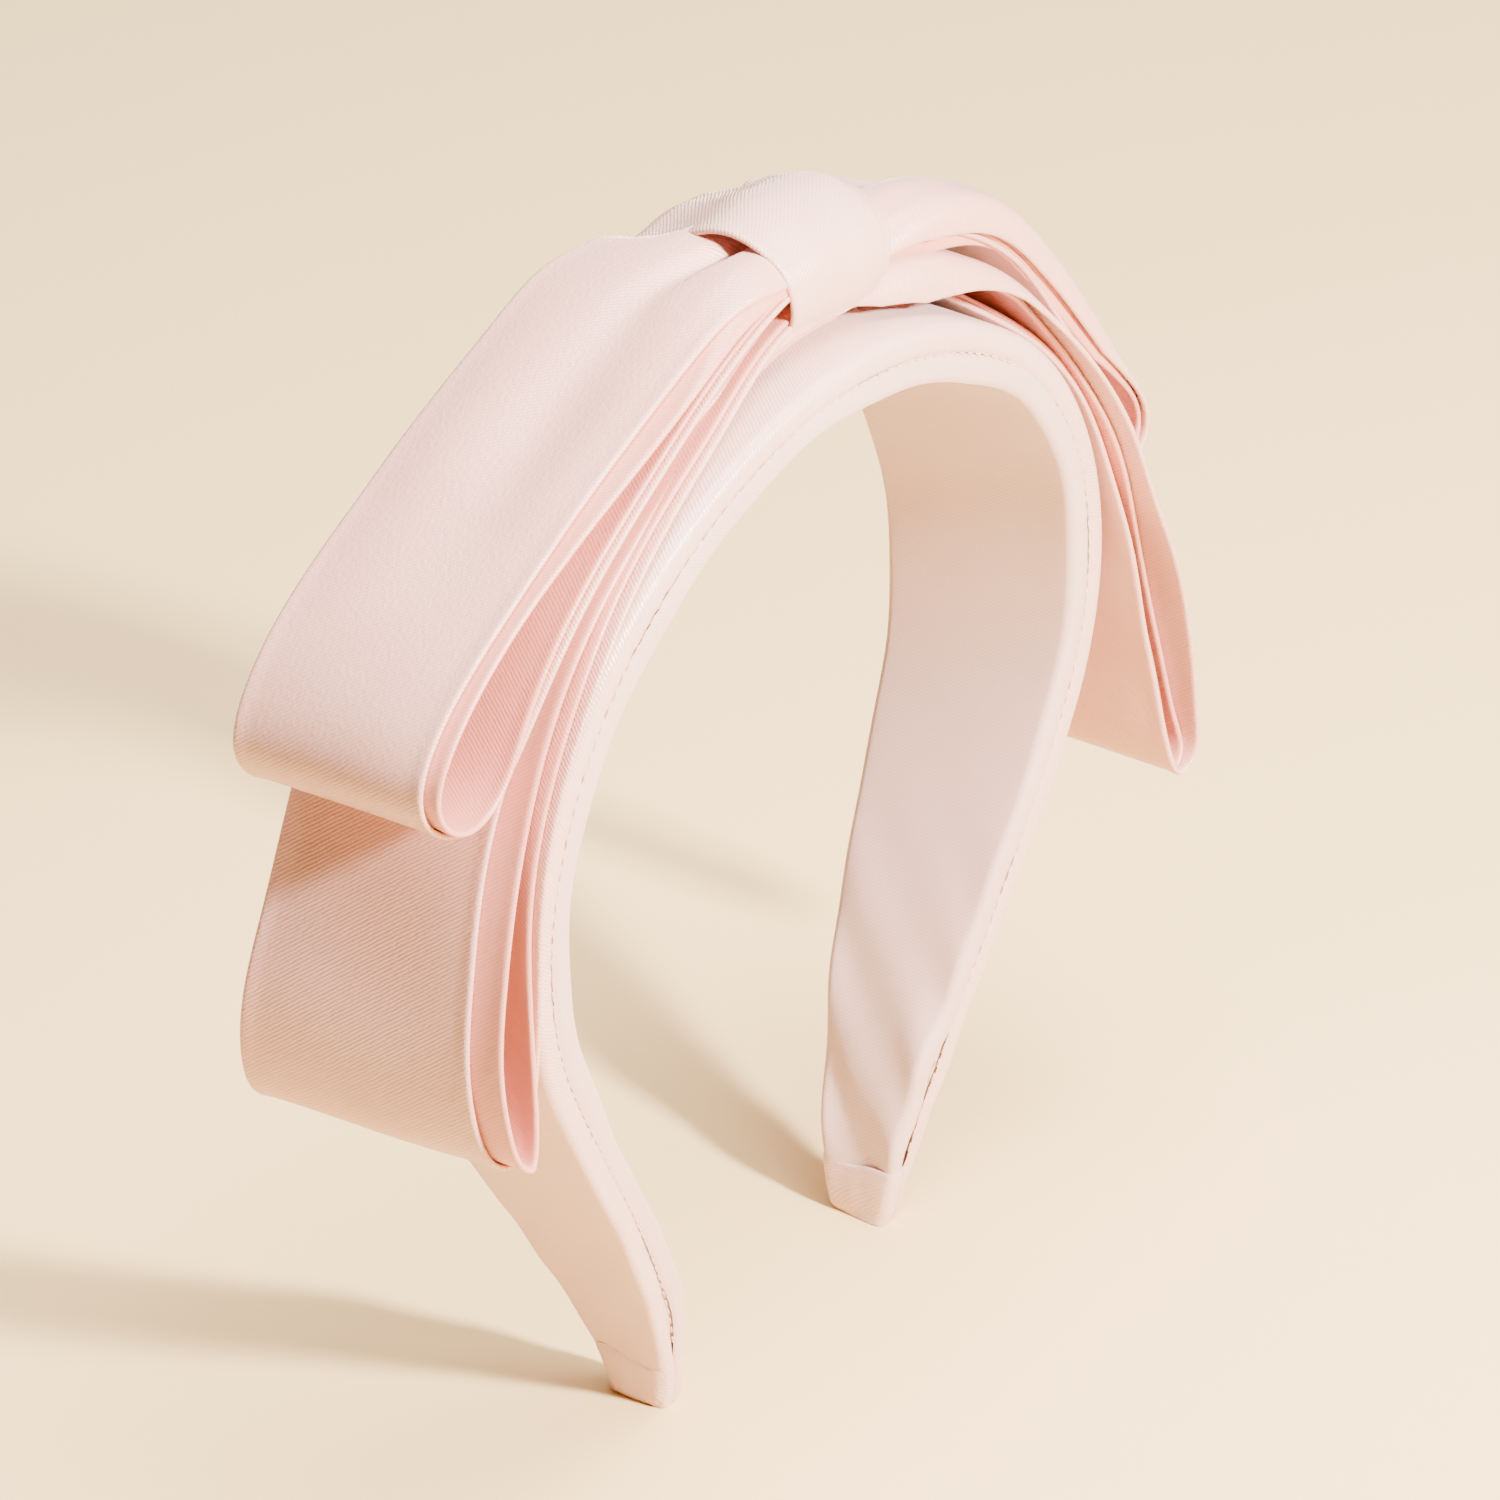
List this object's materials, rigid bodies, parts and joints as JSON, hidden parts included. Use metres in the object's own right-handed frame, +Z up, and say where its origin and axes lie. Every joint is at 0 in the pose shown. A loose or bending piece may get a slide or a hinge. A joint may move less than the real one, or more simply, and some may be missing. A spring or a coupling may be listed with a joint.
{
  "type": "knotted headband",
  "caption": "Wide padded satin headband, standing on its tips, with a stacked two-tier bow of folded satin loops held by a wrapped knot near the crown.",
  "frame": {"origin": "middle of the object's outline on the floor, midway between the two tips", "axes": "+X across the hoop to the wearer's side with the lower-hanging loops, -Y is the front edge, +Y the back edge, +Z up from the tips to the crown"},
  "size_m": [0.1771, 0.0473, 0.1878],
  "materials": {
    "core_plastic": "thin springy plastic strip, hidden",
    "foam": "soft open-cell foam, hidden",
    "satin_cover": "pale blush satin, soft sheen, fine twill weave, pulled smooth over the pad",
    "satin_lining": "pale blush satin on the head side, a little flatter",
    "satin_bow": "pale blush satin ribbon, soft sheen, fine twill weave",
    "satin_backing": "pale blush satin ribbon backing",
    "satin_knot": "pale blush satin, pleated and pulled tight",
    "thread": "blush polyester sewing thread"
  },
  "bodies": {
    "root": {"hoop_core": "core_plastic", "foam_pad": "foam", "outer_cover": "satin_cover", "inner_lining": "satin_lining", "left_tip_fold": "satin_cover", "right_tip_fold": "satin_cover", "front_seam_thread": "thread", "back_seam_thread": "thread", "upper_left_loop_face": "satin_bow", "upper_left_loop_backing": "satin_backing", "upper_right_loop_face": "satin_bow", "upper_right_loop_backing": "satin_backing", "lower_left_loop_face": "satin_bow", "lower_left_loop_backing": "satin_backing", "lower_right_loop_face": "satin_bow", "lower_right_loop_backing": "satin_backing", "knot_wrap": "satin_knot", "gather_thread": "thread", "bow_tack_stitches": "thread", "knot_closing_stitches": "thread"}
  },
  "joints": []
}
